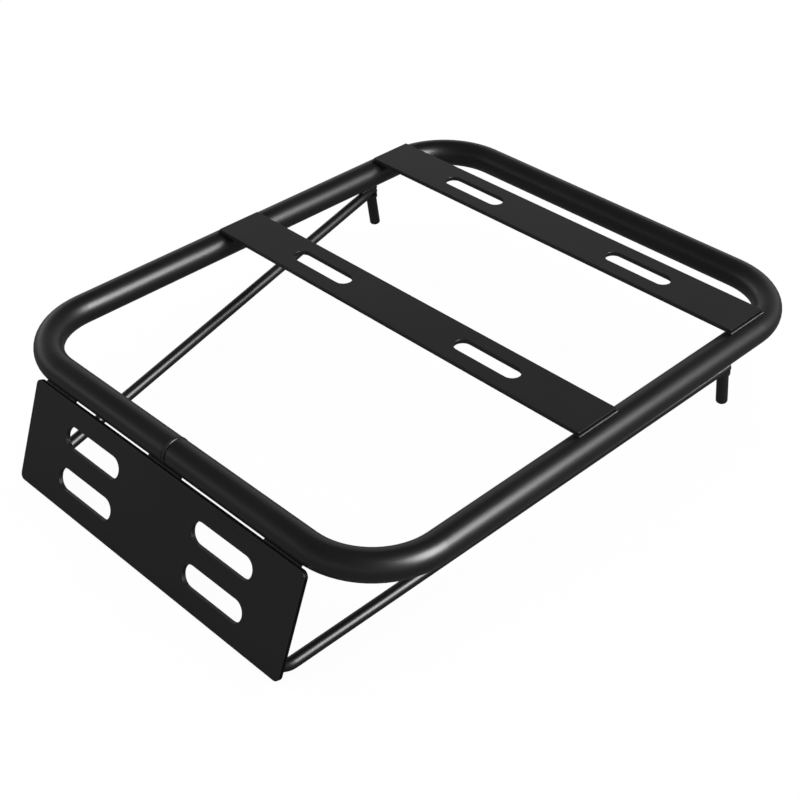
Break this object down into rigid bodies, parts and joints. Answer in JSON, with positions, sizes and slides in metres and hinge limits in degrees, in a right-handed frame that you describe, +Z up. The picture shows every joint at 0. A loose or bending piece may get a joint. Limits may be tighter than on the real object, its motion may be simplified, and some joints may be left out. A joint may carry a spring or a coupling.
{
  "type": "luggage rack",
  "caption": "Rigid welded luggage rack: a rounded tube loop with slotted cross bars, a slotted mounting plate below its front tube, and a bent rod stay with pins under its ends.",
  "frame": {"origin": "centre of the mounting plate's outer face, halfway between its slots", "axes": "+Z up, square to the deck; +Y back along the rack, away from the plate; +X to the right as seen from the plate's outer side, along the bars"},
  "size_m": [0.445, 0.5654, 0.1115],
  "materials": {
    "coated_tube": "satin black powder coat on steel tube",
    "coated_sheet": "satin black powder coat on cut steel sheet",
    "coated_rod": "satin black powder coat on round steel bar",
    "coated_weld": "satin black powder coat over weld beads"
  },
  "bodies": {
    "root": {"butt_weld": "coated_weld", "foot_weld_left": "coated_weld", "foot_weld_right": "coated_weld", "frame_tube": "coated_tube", "front_bar": "coated_sheet", "front_bar_weld_left": "coated_weld", "front_bar_weld_right": "coated_weld", "mounting_plate": "coated_sheet", "pin_left": "coated_rod", "pin_right": "coated_rod", "pin_weld_left": "coated_weld", "pin_weld_right": "coated_weld", "plate_weld_centre": "coated_weld", "plate_weld_left": "coated_weld", "plate_weld_right": "coated_weld", "rear_bar": "coated_sheet", "rear_bar_weld_left": "coated_weld", "rear_bar_weld_right": "coated_weld", "stay_rod": "coated_rod", "stay_weld_left": "coated_weld", "stay_weld_right": "coated_weld"}
  },
  "joints": []
}
